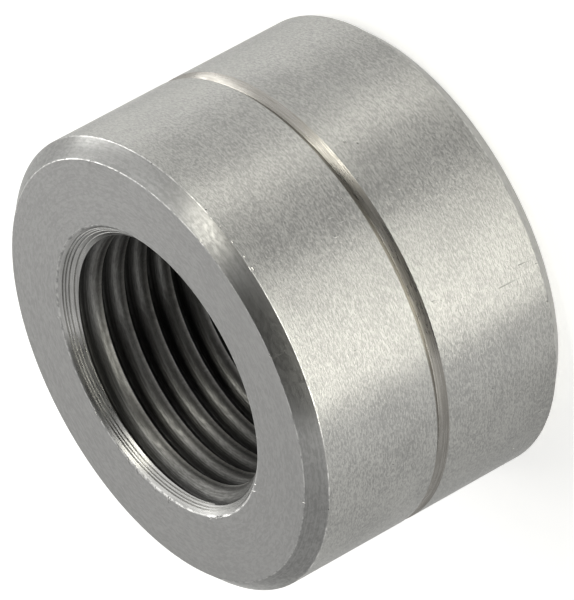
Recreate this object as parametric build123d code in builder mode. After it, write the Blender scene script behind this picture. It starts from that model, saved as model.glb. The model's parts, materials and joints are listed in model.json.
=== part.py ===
from build123d import *
import os

# Driving dimensions in millimetres.
# The axis is +Z. The weld end stands on z = 0 and the threaded mouth is on top.
body_diameter = 26.0
body_length = 17.0

# Flat bevel turned on the outer edge of each end
end_chamfer = 0.9

# Through bore at the minor diameter of an M16 x 1.5 internal thread
bore_diameter = 14.6

# Ninety degree countersinks, each a little wider than the thread's major diameter
mouth_countersink_diameter = 16.6
weld_countersink_diameter = 16.6

# Ninety degree V-groove turned round the outside, with a tool-nose radius at its root
groove_from_weld_end = 8.5
groove_depth = 0.4
groove_root_radius = 0.06

# Sizes worked out from the ones above
body_radius = body_diameter / 2
mouth_countersink_depth = (mouth_countersink_diameter - bore_diameter) / 2
weld_countersink_depth = (weld_countersink_diameter - bore_diameter) / 2
# The groove's cutter runs out past the body, so that it leaves no skin there
cutter_overrun = body_radius / 10
cutter_half_width = groove_depth + cutter_overrun

with BuildPart() as weld_socket:
    # Ring of bar stock, drilled through
    with BuildSketch(Plane.XY):
        Circle(body_radius)
        Circle(bore_diameter / 2, mode=Mode.SUBTRACT)
    extrude(amount=body_length)

    # Bevelled outer edges at both ends
    rims = weld_socket.edges().filter_by(GeomType.CIRCLE).group_by(SortBy.RADIUS)[-1]
    chamfer(rims, end_chamfer)

    # Countersunk bore at both ends
    mouths = weld_socket.edges().filter_by(GeomType.CIRCLE).group_by(SortBy.RADIUS)[0]
    chamfer(mouths.sort_by(Axis.Z)[-1], mouth_countersink_depth)
    chamfer(mouths.sort_by(Axis.Z)[0], weld_countersink_depth)

    # V-groove round the outside
    with BuildSketch(Plane.XZ) as groove_section:
        with BuildLine():
            Polyline(
                (body_radius + cutter_overrun, groove_from_weld_end - cutter_half_width),
                (body_radius - groove_depth, groove_from_weld_end),
                (body_radius + cutter_overrun, groove_from_weld_end + cutter_half_width),
                close=True,
            )
        make_face()
        root = groove_section.vertices().sort_by(Axis.X)[0]
        fillet(root, groove_root_radius)
    revolve(axis=Axis.Z, mode=Mode.SUBTRACT)

weld_socket.part.label = "weld_socket"

os.makedirs("parts", exist_ok=True)
export_step(weld_socket.part, "parts/weld_socket.step")
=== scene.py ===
import json
import math
import random

import bpy
from mathutils import Matrix, Vector

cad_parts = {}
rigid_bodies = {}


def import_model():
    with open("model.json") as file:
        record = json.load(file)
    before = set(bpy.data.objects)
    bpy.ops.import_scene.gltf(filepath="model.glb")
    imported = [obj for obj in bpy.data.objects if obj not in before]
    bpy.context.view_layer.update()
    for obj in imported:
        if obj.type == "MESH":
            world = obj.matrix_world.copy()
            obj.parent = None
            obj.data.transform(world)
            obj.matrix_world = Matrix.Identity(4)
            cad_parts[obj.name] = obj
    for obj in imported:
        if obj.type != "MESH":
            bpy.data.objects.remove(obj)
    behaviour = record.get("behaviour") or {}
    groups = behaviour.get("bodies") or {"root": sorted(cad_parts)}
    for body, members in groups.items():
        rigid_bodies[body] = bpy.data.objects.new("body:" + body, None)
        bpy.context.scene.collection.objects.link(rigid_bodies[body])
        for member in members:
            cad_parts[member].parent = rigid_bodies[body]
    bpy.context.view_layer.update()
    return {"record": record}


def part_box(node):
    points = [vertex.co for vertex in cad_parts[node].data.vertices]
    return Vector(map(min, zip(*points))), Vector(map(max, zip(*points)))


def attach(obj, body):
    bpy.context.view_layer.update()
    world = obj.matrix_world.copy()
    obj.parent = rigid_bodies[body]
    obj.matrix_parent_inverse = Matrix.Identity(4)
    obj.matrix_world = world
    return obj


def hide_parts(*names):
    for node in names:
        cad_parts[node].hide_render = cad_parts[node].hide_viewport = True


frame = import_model()
nodeLow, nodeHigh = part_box("weld_socket")
thread = next(m for m in frame["record"]["mounts"] if m["name"] == "thread")

# The turned body. Sizes are in metres, and the outside comes from the frame
body = {
    "outerRadius": (nodeHigh.x - nodeLow.x) / 2,
    "length": nodeHigh.z - nodeLow.z,
    "endBevel": 0.0009,
    "grooveHeight": 0.0085,
    "grooveDepth": 0.0004,
    "mouthRadius": 0.0083,        # countersink, the same at both faces
    "blankBoreRadius": 0.00722,   # a little tight, the tap opens it to the crests
    "edgeBreak": 0.00004,
    "mouthBreak": 0.00008,
    "toolRings": (0.00022, 0.00033, 0.00046, 0.00066),  # drops below the face
    "ringDepth": 0.000032,
    "ringWidth": 0.00006,
    "steps": 256,
}

# The tap that cuts the thread, M16 x 1.5
tap = {
    "crestRadius": thread["dims"]["r_mm"] / 1000,
    "rootRadius": 0.0080,
    "pitch": 0.0015,
    "rootFlat": 0.00019,
    "flankRise": 0.000404,        # along the axis, for 60 degree flanks
    "rootBreak": 0.00009,
    "valleyBreak": 0.00030,       # the valley's side towards the mouth rises slowly
    "crestBreak": 0.00026,        # and runs over into the crest
    "crestCorner": 0.00002,
    "crestLean": 0.00006,         # the crest falls back a little towards the mouth
    "firstRoot": 0.01563,         # height of a root on the +X side
    "turnsBelow": 12,
    "turns": 14,
    "steps": 128,
}


def activate(obj):
    # operators act on what is selected, so everything else is let go first
    bpy.ops.object.select_all(action="DESELECT")
    obj.select_set(True)
    bpy.context.view_layer.objects.active = obj


def letGo():
    bpy.ops.object.select_all(action="DESELECT")
    bpy.context.view_layer.objects.active = None


def selectVertices(obj, wanted):
    # called in edit mode, leaves only the wanted vertices selected
    bpy.ops.mesh.select_mode(type="VERT")
    bpy.ops.mesh.select_all(action="DESELECT")
    bpy.ops.object.mode_set(mode="OBJECT")
    for v in obj.data.vertices:
        v.select = wanted(v.co)
    bpy.ops.object.mode_set(mode="EDIT")


def applyModifier(obj, modifier):
    activate(obj)
    bpy.ops.object.modifier_apply(modifier=modifier.name)


def outlineInXZ(name, points, closed):
    # one point is set down and drawn on to the next, round the outline of a half section
    letGo()
    bpy.ops.mesh.primitive_plane_add(size=0.0001, location=(0, 0, 0))
    outline = bpy.context.object
    outline.name = name
    bpy.ops.object.mode_set(mode="EDIT")
    bpy.ops.mesh.select_all(action="SELECT")
    bpy.ops.mesh.merge(type="CENTER")
    bpy.ops.transform.translate(value=(points[0][0], 0, points[0][1]))
    for here, there in zip(points, points[1:]):
        step = (there[0] - here[0], 0, there[1] - here[1])
        bpy.ops.mesh.extrude_region_move(TRANSFORM_OT_translate={"value": step})
    if closed:
        ends = (points[0], points[-1])
        selectVertices(outline, lambda co: any(math.dist((co.x, co.z), p) < 1e-6 for p in ends))
        bpy.ops.mesh.edge_face_add()
    return outline


def breakCorners(obj, corners, leg, segments):
    selectVertices(obj, lambda co: any(math.dist((co.x, co.z), c) < 1e-6 for c in corners))
    bpy.ops.mesh.bevel(offset_type="OFFSET", offset=leg, segments=segments, affect="VERTICES")


def turnBody():
    r, length, bevel = body["outerRadius"], body["length"], body["endBevel"]
    bore, mouth = body["blankBoreRadius"], body["mouthRadius"]
    sink, groove, depth = mouth - bore, body["grooveHeight"], body["grooveDepth"]
    corners = [
        (mouth, 0), (r - bevel, 0), (r, bevel),
        (r, groove - depth), (r - depth, groove), (r, groove + depth),
        (r, length - bevel), (r - bevel, length), (mouth, length),
    ]
    # the tool left rings on the countersinks, each a shallow V in the cone
    rings = []
    for drop in body["toolRings"]:
        half, deep, cone = body["ringWidth"] / 2, body["ringDepth"], mouth - drop
        rings += [(cone + half, drop - half), (cone + deep, drop + deep), (cone - half, drop + half)]
    upperRings = [(x, length - z) for x, z in rings]
    lowerRings = [(x, z) for x, z in reversed(rings)]
    bores = [(bore, length - sink), (bore, sink)]
    piece = outlineInXZ("socket_body", corners + upperRings + bores + lowerRings, True)
    mouths = [(mouth, 0), (mouth, length)]
    breakCorners(piece, mouths, body["mouthBreak"], 3)
    breakCorners(piece, [c for c in corners if c not in mouths + [(r, groove - depth)]], body["edgeBreak"], 2)
    bpy.ops.mesh.select_all(action="SELECT")
    bpy.ops.mesh.spin(steps=body["steps"], angle=2 * math.pi, center=(0, 0, 0), axis=(0, 0, 1))
    bpy.ops.mesh.select_all(action="SELECT")
    bpy.ops.mesh.remove_doubles(threshold=1e-7)
    bpy.ops.mesh.normals_make_consistent(inside=False)
    bpy.ops.object.mode_set(mode="OBJECT")
    return piece, corners


def cutThread(piece):
    # one turn's profile from root to root, then swept up as a screw
    crest, root, pitch = tap["crestRadius"], tap["rootRadius"], tap["pitch"]
    half, rise = tap["rootFlat"] / 2, tap["flankRise"]
    low = tap["firstRoot"] - tap["turnsBelow"] * pitch
    lowerRoot, lowerCrest = (root, low + half), (crest, low + half + rise)
    upperCrest, upperRoot = (crest + tap["crestLean"], low + pitch - half - rise), (root, low + pitch - half)
    corners = [lowerRoot, lowerCrest, upperCrest, upperRoot]
    cutter = outlineInXZ("thread_tap", [(root, low)] + corners + [(root, low + pitch)], False)
    breakCorners(cutter, [lowerRoot], tap["rootBreak"], 2)
    breakCorners(cutter, [upperCrest], tap["crestBreak"], 5)
    breakCorners(cutter, [upperRoot], tap["valleyBreak"], 4)
    breakCorners(cutter, [lowerCrest], tap["crestCorner"], 1)
    bpy.ops.object.mode_set(mode="OBJECT")
    screw = cutter.modifiers.new("turns", "SCREW")
    screw.axis = "Z"
    screw.angle = 2 * math.pi
    screw.screw_offset = pitch
    screw.iterations = tap["turns"]
    screw.steps = screw.render_steps = tap["steps"]
    screw.use_merge_vertices = True
    screw.merge_threshold = 1e-7
    applyModifier(cutter, screw)
    bpy.ops.object.mode_set(mode="EDIT")
    bpy.ops.mesh.select_all(action="SELECT")
    bpy.ops.mesh.remove_doubles(threshold=2e-6)
    # the two ends are drawn together on the axis, so that the tap is closed
    for upper in (False, True):
        bpy.ops.mesh.select_mode(type="VERT")
        bpy.ops.mesh.select_all(action="DESELECT")
        bpy.ops.mesh.select_non_manifold(
            use_wire=False, use_multi_face=False, use_non_contiguous=False, use_verts=False,
        )
        bpy.ops.object.mode_set(mode="OBJECT")
        for v in cutter.data.vertices:
            v.select = v.select and (v.co.z > body["grooveHeight"]) == upper
        bpy.ops.object.mode_set(mode="EDIT")
        bpy.ops.mesh.extrude_region_move(TRANSFORM_OT_translate={"value": (0, 0, 0)})
        bpy.ops.mesh.merge(type="CENTER")
    bpy.ops.mesh.select_all(action="SELECT")
    bpy.ops.mesh.normals_make_consistent(inside=False)
    bpy.ops.object.mode_set(mode="OBJECT")
    cut = piece.modifiers.new("thread", "BOOLEAN")
    cut.operation = "DIFFERENCE"
    cut.solver = "EXACT"
    cut.object = cutter
    applyModifier(piece, cut)
    mesh = cutter.data
    bpy.data.objects.remove(cutter)
    bpy.data.meshes.remove(mesh)


# Scratches and nicks from handling. Each is an angle round the axis from -Y towards +X, the radius
# and height of its middle, its lean from the way round, and its length, width and depth in mm
handling = {
    "seen": [
        (-21.0, 13.0, 2.85, 88, 2.80, 0.060, 0.020), (-16.2, 13.0, 2.60, 62, 0.70, 0.050, 0.018),
        (-17.6, 13.0, 3.60, 80, 1.10, 0.060, 0.020), (-18.4, 13.0, 1.70, 86, 1.20, 0.070, 0.020),
        (-14.6, 13.0, 4.30, 75, 0.60, 0.050, 0.016), (-20.0, 13.0, 0.98, 78, 0.40, 0.060, 0.018),
        (-16.0, 13.0, 7.46, 84, 0.50, 0.060, 0.024), (-16.9, 13.0, 7.06, 18, 0.45, 0.060, 0.024),
        (-29.8, 13.0, 0.95, 20, 0.30, 0.090, 0.040), (26.0, 13.0, 7.20, 64, 0.62, 0.060, 0.040),
        (24.2, 13.0, 6.66, 50, 0.66, 0.060, 0.040), (16.4, 13.0, 10.05, 40, 0.34, 0.050, 0.020),
        (14.3, 13.0, 9.40, 40, 0.50, 0.060, 0.022), (16.9, 13.0, 7.97, 55, 0.26, 0.080, 0.026),
        (55.8, 13.0, 13.58, 22, 0.46, 0.060, 0.026), (13.2, 13.0, 15.97, 25, 0.30, 0.080, 0.040),
        (10.6, 13.0, 15.70, 70, 0.70, 0.060, 0.030), (9.8, 13.0, 15.96, 10, 0.36, 0.120, 0.050),
        (11.6, 13.0, 10.60, 78, 0.60, 0.050, 0.018), (9.6, 13.0, 10.20, 84, 0.80, 0.050, 0.016),
        (8.8, 13.0, 11.40, 70, 0.50, 0.060, 0.018), (7.2, 13.0, 11.00, 80, 0.34, 0.060, 0.022),
        (27.5, 13.0, 16.02, 5, 0.50, 0.100, 0.040), (22.0, 13.0, 16.04, 5, 0.44, 0.110, 0.045),
        (17.5, 13.0, 16.03, 8, 0.30, 0.120, 0.050), (-51.6, 12.1, 17.0, 0, 0.34, 0.100, 0.050),
        (48.5, 13.0, 16.06, 4, 0.70, 0.070, 0.030), (66.5, 12.1, 17.0, 0, 0.60, 0.080, 0.040),
    ],
    "seed": 11,
    "wallScratches": 46,
    "rimNicks": 44,
    "mouthNicks": 46,
}


def addDent(angle, radius, height, lean, long, wide, deep):
    # a ball squeezed flat and long, half sunk in the surface
    turn, tilt = math.radians(angle), math.radians(lean)
    place = Vector((math.sin(turn), -math.cos(turn), 0)) * radius / 1000 + Vector((0, 0, height / 1000))
    bpy.ops.mesh.primitive_uv_sphere_add(
        segments=8, ring_count=6, radius=0.001, location=place,
        rotation=(0, -tilt, 0), scale=(long / 2, deep, wide / 2),
    )
    # it is added facing -Y, then turned round the axis to its place
    bpy.ops.transform.rotate(value=turn, orient_axis="Z", center_override=place, orient_type="GLOBAL")


def markSurface(piece):
    letGo()
    bpy.ops.mesh.primitive_plane_add(size=0.0001)
    cutter = bpy.context.object
    cutter.name = "dents"
    bpy.ops.object.mode_set(mode="EDIT")
    bpy.ops.mesh.delete(type="VERT")
    chance = random.Random(handling["seed"])
    low, high = body["endBevel"] * 1000, (body["length"] - body["endBevel"]) * 1000
    outside, mouth = body["outerRadius"] * 1000, body["mouthRadius"] * 1000
    dents = list(handling["seen"])
    for index in range(handling["wallScratches"]):
        height = chance.choice([chance.uniform(low + 0.3, 7.6), chance.uniform(9.4, high - 0.3)])
        angle = (index + chance.uniform(0.2, 0.8)) * 360 / handling["wallScratches"]
        dents.append((angle, outside, height, chance.uniform(0, 180), chance.uniform(0.2, 0.8), 0.05, 0.018))
    top = low + high
    rims = [(outside, low), (outside, high), (outside - low, top), (outside - low, 0)]
    for index in range(handling["rimNicks"]):
        radius, height = rims[index % 4]
        angle = (index + chance.uniform(0.1, 0.9)) * 360 / handling["rimNicks"]
        long, deep = chance.uniform(0.10, 0.45), chance.uniform(0.02, 0.035)
        dents.append((angle, radius, height, 0, long, 0.07, deep))
    for index in range(handling["mouthNicks"]):
        angle = chance.choice([chance.uniform(0, 360), chance.uniform(170, 270)])
        height = 0 if index % 4 == 0 else top
        long, wide = chance.uniform(0.12, 0.9), chance.uniform(0.03, 0.12)
        dents.append((angle, mouth, height, 0, long, wide, 0.06))
    for dent in dents:
        addDent(*dent)
    bpy.ops.object.mode_set(mode="OBJECT")
    cut = piece.modifiers.new("marks", "BOOLEAN")
    cut.operation = "DIFFERENCE"
    cut.solver = "EXACT"
    cut.use_self = True
    cut.object = cutter
    applyModifier(piece, cut)
    mesh = cutter.data
    bpy.data.objects.remove(cutter)
    bpy.data.meshes.remove(mesh)
    bpy.ops.object.mode_set(mode="EDIT")
    bpy.ops.mesh.select_all(action="SELECT")
    bpy.ops.mesh.remove_doubles(threshold=1e-7)
    # the merge drops a face that folds onto itself, so the gap it leaves is closed
    bpy.ops.mesh.fill_holes(sides=0)
    bpy.ops.mesh.normals_make_consistent(inside=False)
    bpy.ops.object.mode_set(mode="OBJECT")
    return len(dents)


socket, bodyCorners = turnBody()
print("turned body:", len(socket.data.polygons), "faces")
cutThread(socket)
print("thread cut:", len(socket.data.polygons), "faces")
print(markSurface(socket), "marks cut:", len(socket.data.polygons), "faces")


# Finishes, in the order of the piece's material slots
finishes = {
    "turnedWall": {
        "light": (0.385, 0.382, 0.366), "dark": (0.272, 0.271, 0.263),
        "roughness": (0.31, 0.39), "anisotropy": 0.95, "across": "z",
        "grainLength": 0.00022, "grainWidth": 0.00008, "bump": 0.000022,
        "lineWidth": 0.00006, "lineShare": 0.15,
    },
    "facedEnd": {
        "light": (0.320, 0.317, 0.310), "dark": (0.280, 0.278, 0.272),
        "roughness": (0.46, 0.54), "anisotropy": 0.05, "across": "r",
        "grainLength": 0.00040, "grainWidth": 0.00020, "bump": 0.000003,
        "lineWidth": 0.00010, "lineShare": 0.25,
    },
    # the front chamfer: its colour is darkened as painted shade, against the far chamfer of the same cut
    "bevel": {
        "light": (0.31, 0.308, 0.298), "dark": (0.235, 0.234, 0.227),
        "roughness": (0.30, 0.38), "anisotropy": 0.6, "across": "z",
        "grainLength": 0.00040, "grainWidth": 0.00012, "bump": 0.000006,
        "lineWidth": 0.00005, "lineShare": 0.3,
    },
    # the far chamfer: the same cut as the front one, its colour lightened as painted light
    "farBevelPaintedLight": {
        "light": (0.47, 0.467, 0.455), "dark": (0.38, 0.379, 0.370),
        "roughness": (0.34, 0.42), "anisotropy": 0.6, "across": "z",
        "grainLength": 0.00040, "grainWidth": 0.00012, "bump": 0.000006,
        "lineWidth": 0.00005, "lineShare": 0.3,
    },
    "countersink": {
        "light": (0.47, 0.466, 0.45), "dark": (0.35, 0.348, 0.336),
        "roughness": (0.26, 0.35), "anisotropy": 0.7, "across": "r",
        "grainLength": 0.0012, "grainWidth": 0.00007, "bump": 0.000005,
        "lineWidth": 0.00006, "lineShare": 0.5,
    },
    "groove": {
        "light": (0.35, 0.337, 0.312), "dark": (0.25, 0.239, 0.218),
        "roughness": (0.26, 0.36), "anisotropy": 0.6, "across": "z",
        "grainLength": 0.0010, "grainWidth": 0.00006, "bump": 0.000004,
        "lineWidth": 0.00004, "lineShare": 0.5,
    },
    "thread": {
        "light": (0.70, 0.693, 0.665), "dark": (0.42, 0.415, 0.393),
        "roughness": (0.38, 0.54), "anisotropy": 0.3, "across": "r",
        "grainLength": 0.0005, "grainWidth": 0.00005, "bump": 0.000020,
        "lineWidth": 0.00008, "lineShare": 0.5,
        # radius and level: a painted highlight along the crest's corner and painted shade down in the valley
        "paintedHighlightAndShade": ((0.00730, 1.1), (0.007325, 0.36), (0.00785, 0.11)),
    },
    "edge": {
        "light": (0.52, 0.515, 0.50), "dark": (0.27, 0.269, 0.262),
        "roughness": (0.28, 0.42), "anisotropy": 0.3, "across": "z",
        "grainLength": 0.00050, "grainWidth": 0.00030, "bump": 0.000010,
        "lineWidth": 0.00010, "lineShare": 0.1,
    },
    "scratch": {
        "light": (0.44, 0.437, 0.423), "dark": (0.34, 0.338, 0.327),
        "roughness": (0.28, 0.38), "anisotropy": 0.2, "across": "z",
        "grainLength": 0.00020, "grainWidth": 0.00020, "bump": 0.000006,
        "lineWidth": 0.00010, "lineShare": 0.1,
    },
}


def addNode(tree, kind, settings=None, **inputs):
    node = tree.nodes.new(kind)
    for key, value in (settings or {}).items():
        setattr(node, key, value)
    for key, value in inputs.items():
        # a number picks the socket by its place, as in in0, a word by its name
        name = int(key[2:]) if key[:2] == "in" and key[2:].isdigit() else key.replace("_", " ")
        socketIn = node.inputs[name]
        if isinstance(value, bpy.types.NodeSocket):
            tree.links.new(value, socketIn)
        else:
            socketIn.default_value = value
    return node


def math2(tree, operation, a, b=0.0):
    return addNode(tree, "ShaderNodeMath", {"operation": operation}, in0=a, in1=b).outputs[0]


def steel(name, finish):
    material = bpy.data.materials.new(name)
    material.use_nodes = True
    tree = material.node_tree
    shader = tree.nodes["Principled BSDF"]
    place = addNode(tree, "ShaderNodeTexCoord").outputs["Object"]
    split = addNode(tree, "ShaderNodeSeparateXYZ", Vector=place)
    x, y, z = split.outputs
    # direction round the axis, which the tool's marks follow
    minusY = math2(tree, "MULTIPLY", y, -1.0)
    around = addNode(tree, "ShaderNodeCombineXYZ", X=minusY, Y=x)
    squares = math2(tree, "MULTIPLY", x, x), math2(tree, "MULTIPLY", y, y)
    radius = math2(tree, "SQRT", math2(tree, "ADD", *squares))
    across = z if finish["across"] == "z" else radius

    def strokes(length, width):
        # long round the axis and narrow across it, with no seam
        flat = addNode(
            tree, "ShaderNodeCombineXYZ",
            X=math2(tree, "MULTIPLY", x, 1 / length), Y=math2(tree, "MULTIPLY", y, 1 / length),
            Z=math2(tree, "MULTIPLY", across, 1 / width),
        )
        return flat.outputs[0]

    def share(value, part):
        return math2(tree, "MULTIPLY", value, part)

    grain = addNode(
        tree, "ShaderNodeTexNoise", Scale=1.0, Detail=3.0, Roughness=0.62, Distortion=0.6,
        Vector=strokes(finish["grainLength"], finish["grainWidth"]),
    ).outputs[0]
    lines = addNode(
        tree, "ShaderNodeTexNoise", Scale=1.0, Detail=1.0,
        Vector=strokes(0.006, finish["lineWidth"]),
    ).outputs[0]
    blotch = addNode(tree, "ShaderNodeTexNoise", Scale=420.0, Detail=3.0, Vector=place).outputs[0]
    marks = math2(tree, "ADD", share(grain, 1 - finish["lineShare"]), share(lines, finish["lineShare"]))
    tone = math2(tree, "ADD", share(marks, 0.85), share(blotch, 0.15))
    ramp = addNode(tree, "ShaderNodeValToRGB", Fac=tone)
    low, high = ramp.color_ramp.elements
    low.position, high.position = 0.42, 0.58
    low.color, high.color = (*finish["dark"], 1), (*finish["light"], 1)
    colour = ramp.outputs[0]
    # the thread's colour is raised at the crest corner as a painted highlight and lowered in the valleys as
    # painted shade
    if "paintedHighlightAndShade" in finish:
        paintedHighlightAndShade = finish["paintedHighlightAndShade"]
        part = addNode(tree, "ShaderNodeMapRange", Value=radius, From_Min=paintedHighlightAndShade[0][0], From_Max=paintedHighlightAndShade[-1][0])
        level = addNode(tree, "ShaderNodeValToRGB", Fac=part.outputs[0])
        stops = level.color_ramp.elements   # two to begin with
        while len(stops) < len(paintedHighlightAndShade):
            stops.new(0.5)
        for stop, (reach, value) in zip(stops, paintedHighlightAndShade):
            stop.position = (reach - paintedHighlightAndShade[0][0]) / (paintedHighlightAndShade[-1][0] - paintedHighlightAndShade[0][0])
            stop.color = (value, value, value, 1)
        colour = addNode(tree, "ShaderNodeHueSaturation", Color=colour, Value=level.outputs[0]).outputs[0]
    tree.links.new(colour, shader.inputs["Base Color"])
    rough = addNode(
        tree, "ShaderNodeMapRange", Value=math2(tree, "ADD", share(grain, 0.8), share(blotch, 0.2)),
        From_Min=0.40, From_Max=0.60, To_Min=finish["roughness"][1], To_Max=finish["roughness"][0],
    )
    tree.links.new(rough.outputs[0], shader.inputs["Roughness"])
    bump = addNode(tree, "ShaderNodeBump", Strength=1.0, Distance=finish["bump"], Height=marks)
    tree.links.new(bump.outputs[0], shader.inputs["Normal"])
    tree.links.new(around.outputs[0], shader.inputs["Tangent"])
    shader.inputs["Metallic"].default_value = 1.0
    shader.inputs["Anisotropic"].default_value = finish["anisotropy"]
    shader.inputs["Anisotropic Rotation"].default_value = 0.25
    shader.inputs["Specular Tint"].default_value = (0.7, 0.7, 0.7, 1)
    return material


def assignFinishes(piece, corners):
    r, length, bevel = body["outerRadius"], body["length"], body["endBevel"]
    groove, depth = body["grooveHeight"], body["grooveDepth"]
    mouth, reach = body["mouthRadius"], body["edgeBreak"]
    order = {name: index for index, name in enumerate(finishes)}
    for name in finishes:
        piece.data.materials.append(steel(name + "Steel", finishes[name]))

    def regionOf(c):
        radius = math.hypot(c.x, c.y)
        drop = min(c.z, length - c.z)
        sunk = min(r - radius, drop, (r - bevel - radius + drop) * 0.7071)
        lip = abs(c.z - groove) < depth * 2
        near = body["mouthBreak"] * 0.9 if radius < mouth + reach * 3 else reach * 0.9
        if not lip and any(math.dist((radius, c.z), corner) < near for corner in corners):
            return "edge"
        if c.z < 1e-6 or c.z > length - 1e-6:
            return "facedEnd"
        if radius < mouth:
            if abs(radius + drop - mouth) < body["ringDepth"] * 1.1 and radius > tap["crestRadius"]:
                return "countersink"
            return "scratch" if drop < reach * 3 else "thread"
        if sunk > reach / 20 and not lip:
            return "scratch"
        # one chamfer cut at both ends, given a shaded copy at the front and a lit copy at the far end:
        # painted shade and painted light
        if c.z > length - bevel:
            return "bevel"
        if c.z < bevel:
            return "farBevelPaintedLight"
        if abs(c.z - groove) < depth:
            return "groove"
        return "turnedWall"

    for name, index in order.items():
        activate(piece)
        bpy.ops.object.mode_set(mode="EDIT")
        bpy.ops.mesh.select_mode(type="FACE")
        bpy.ops.mesh.select_all(action="DESELECT")
        bpy.ops.object.mode_set(mode="OBJECT")
        for polygon in piece.data.polygons:
            polygon.select = regionOf(polygon.center) == name
        count = sum(polygon.select for polygon in piece.data.polygons)
        piece.active_material_index = index
        bpy.ops.object.mode_set(mode="EDIT")
        bpy.ops.object.material_slot_assign()
        bpy.ops.object.mode_set(mode="OBJECT")
        print("finish", name, "on", count, "faces")


assignFinishes(socket, bodyCorners)
activate(socket)
bpy.ops.object.shade_smooth_by_angle(angle=math.radians(32))
# the rims of the marks stay crisp, and the surface round them stays even
bpy.ops.object.mode_set(mode="EDIT")
bpy.ops.mesh.select_all(action="DESELECT")
socket.active_material_index = list(finishes).index("scratch")
bpy.ops.object.material_slot_select()
bpy.ops.mesh.region_to_loop()
bpy.ops.mesh.mark_sharp()
bpy.ops.mesh.select_mode(type="FACE")
bpy.ops.object.mode_set(mode="OBJECT")
evenNormals = socket.modifiers.new("normals", "WEIGHTED_NORMAL")
evenNormals.weight = 100
evenNormals.keep_sharp = True
applyModifier(socket, evenNormals)
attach(socket, "root")
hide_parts("weld_socket")
print("socket finished")


# Studio. Azimuths are in degrees from the camera's side (-Y) towards +X
studio = {
    "distance": 0.45,
    "worldLevel": 0.45,
    "paperLevel": 1.0,            # what the camera, metal and glass see of the backdrop
    "floorColour": (0.80, 0.80, 0.79, 1),
    "floorGlow": 0.48,
    "warm": (1.0, 0.985, 0.89),
    "plain": (1.0, 1.0, 0.98),
}
softboxes = {
    "leftFill": {"azimuth": (-80, -50), "elevation": (-2, 19), "radiance": 1.15, "tint": "plain"},
    "left": {"azimuth": (-50, -20), "elevation": (-2, 11), "radiance": 13.5, "tint": "warm"},
    "frontLeft": {"azimuth": (-20, -8), "elevation": (-2, 11), "radiance": 10.6, "tint": "warm"},
    "front": {"azimuth": (-8, 9), "elevation": (-2, 11), "radiance": 7.8, "tint": "warm"},
    "strip": {"azimuth": (50, 59), "elevation": (-2, 30), "radiance": 6.4, "tint": "warm"},
    "key": {"azimuth": (48, 71), "elevation": (44, 60), "radiance": 4.5, "tint": "warm"},
    "right": {"azimuth": (98, 132), "elevation": (-2, 12), "radiance": 4.6, "tint": "plain"},
    "rightBack": {"azimuth": (140, 166), "elevation": (24, 40), "radiance": 4.6, "tint": "plain"},
    "rightTop": {"azimuth": (100, 140), "elevation": (44, 72), "radiance": 1.0, "tint": "plain"},
}
flags = {
    "overhead": {"azimuth": (-64, 8), "elevation": (21, 82), "level": 0.04},
    "between": {"azimuth": (11, 47), "elevation": (-2, 50), "level": 0.0},
    "shade": {"azimuth": (-175, -80), "elevation": (-2, 55), "level": 0.65},
    "top": {"azimuth": (-18, 18), "elevation": (74, 106), "level": 0.0},
}


def placed(spec, distance):
    # centre, facing turn, width and height of a panel seen from the socket between these angles
    azimuths = [math.radians(a) for a in spec["azimuth"]]
    elevations = [math.radians(e) for e in spec["elevation"]]
    azimuth, elevation = sum(azimuths) / 2, sum(elevations) / 2
    outward = Vector((
        math.sin(azimuth) * math.cos(elevation),
        -math.cos(azimuth) * math.cos(elevation),
        math.sin(elevation),
    ))
    centre = outward * distance + Vector((0, 0, body["length"] / 2))
    # a panel right overhead keeps the width that its azimuths give lower down
    spread = 0.9 if elevation > 1.5 else math.cos(elevation)
    width = 2 * distance * math.tan((azimuths[1] - azimuths[0]) / 2) * spread
    height = 2 * distance * math.tan((elevations[1] - elevations[0]) / 2)
    return centre, outward.to_track_quat("Z", "Y"), width, height


def addSoftbox(name, spec):
    centre, turn, width, height = placed(spec, studio["distance"])
    data = bpy.data.lights.new("softbox_" + name, "AREA")
    data.shape = "RECTANGLE"
    data.size, data.size_y = width, height
    data.energy = spec["radiance"] * 4 * width * height
    data.color = studio[spec["tint"]]
    lamp = bpy.data.objects.new(data.name, data)
    lamp.location = centre
    lamp.rotation_mode = "QUATERNION"
    lamp.rotation_quaternion = turn
    bpy.context.scene.collection.objects.link(lamp)


def addFlag(name, spec):
    # a grey card that only metal and glass see
    material = bpy.data.materials.new("card_" + name)
    material.use_nodes = True
    shader = material.node_tree.nodes["Principled BSDF"]
    shader.inputs["Base Color"].default_value = (0.02, 0.02, 0.02, 1)
    shader.inputs["Roughness"].default_value = 1.0
    shader.inputs["Specular IOR Level"].default_value = 0.0
    shader.inputs["Emission Color"].default_value = (1, 1, 1, 1)
    shader.inputs["Emission Strength"].default_value = spec["level"]
    centre, turn, width, height = placed(spec, studio["distance"] * 1.1)
    letGo()
    bpy.ops.mesh.primitive_plane_add(size=1)
    card = bpy.context.object
    card.name = "card_" + name
    card.data.materials.append(material)
    card.rotation_mode = "QUATERNION"
    card.location, card.rotation_quaternion, card.scale = centre, turn, (width, height, 1)
    card.visible_camera = False
    card.visible_diffuse = False
    card.visible_shadow = False


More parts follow.
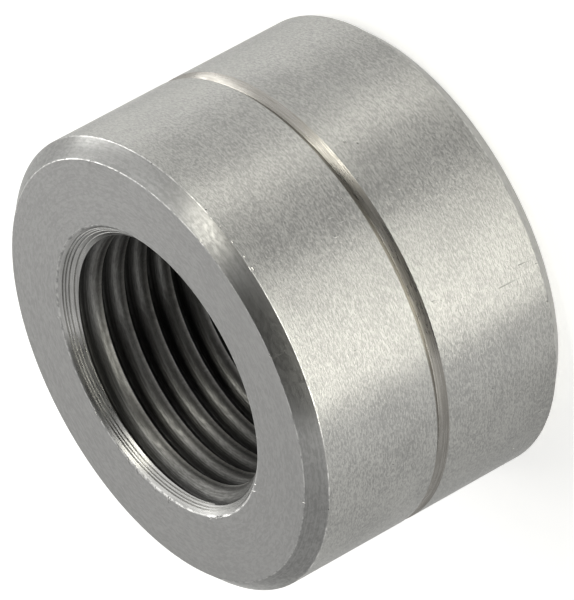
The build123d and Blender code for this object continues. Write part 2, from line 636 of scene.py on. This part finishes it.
def setStudio():
    scene = bpy.context.scene
    scene.view_settings.view_transform = "Standard"
    world = bpy.data.worlds.new("studio")
    scene.world = world
    world.use_nodes = True
    tree = world.node_tree
    level = tree.nodes["Background"]
    level.inputs["Color"].default_value = (1, 1, 1, 1)
    level.inputs["Strength"].default_value = studio["worldLevel"]
    paper = addNode(tree, "ShaderNodeBackground", Color=(1, 1, 1, 1), Strength=studio["paperLevel"])
    seen = seenRays(tree)
    mix = addNode(tree, "ShaderNodeMixShader", Fac=seen, in1=level.outputs[0], in2=paper.outputs[0])
    tree.links.new(mix.outputs[0], tree.nodes["World Output"].inputs["Surface"])

    letGo()
    bpy.ops.mesh.primitive_circle_add(vertices=96, radius=3.0, fill_type="NGON", location=(0, 0, 0))
    floor = bpy.context.object
    floor.name = "floor"
    material = bpy.data.materials.new("floorPaper")
    material.use_nodes = True
    tree = material.node_tree
    shader = tree.nodes["Principled BSDF"]
    shader.inputs["Base Color"].default_value = studio["floorColour"]
    shader.inputs["Roughness"].default_value = 0.9
    shader.inputs["Specular IOR Level"].default_value = 0.0
    shader.inputs["Emission Color"].default_value = (1, 1, 1, 1)
    # the glow is left out of second reflections, so that the bore stays dark inside
    direct = math2(tree, "LESS_THAN", addNode(tree, "ShaderNodeLightPath").outputs["Ray Depth"], 1.5)
    glow = math2(tree, "MULTIPLY", math2(tree, "MULTIPLY", seenRays(tree), direct), studio["floorGlow"])
    tree.links.new(glow, shader.inputs["Emission Strength"])
    floor.data.materials.append(material)

    for name, spec in softboxes.items():
        addSoftbox(name, spec)
    for name, spec in flags.items():
        addFlag(name, spec)


def seenRays(tree):
    # one for what the camera, metal or glass sees, nought for the light that falls on things
    path = addNode(tree, "ShaderNodeLightPath")
    both = math2(tree, "MAXIMUM", path.outputs["Is Camera Ray"], path.outputs["Is Glossy Ray"])
    return math2(tree, "MAXIMUM", both, path.outputs["Is Transmission Ray"])


setStudio()
print("studio set")

# The camera looks 28 degrees down at the mouth, and is rolled as in the photograph
camera = {
    "place": (0, -0.413838, 0.229561),
    "right": (-0.4783, -0.41414, -0.77442),
    "up": (0.8782, -0.22559, -0.42176),
    "lens": 540,
}


def addCamera():
    data = bpy.data.cameras.new("camera")
    data.lens = camera["lens"]
    data.sensor_fit = "AUTO"
    data.sensor_width = 36
    data.clip_start, data.clip_end = 0.01, 20
    view = bpy.data.objects.new("camera", data)
    right, up = Vector(camera["right"]).normalized(), Vector(camera["up"])
    back = right.cross(up).normalized()
    up = back.cross(right)
    turn = Matrix((right, up, back)).transposed().to_4x4()
    view.matrix_world = Matrix.Translation(camera["place"]) @ turn
    bpy.context.scene.collection.objects.link(view)
    bpy.context.scene.camera = view


addCamera()
print("camera set")
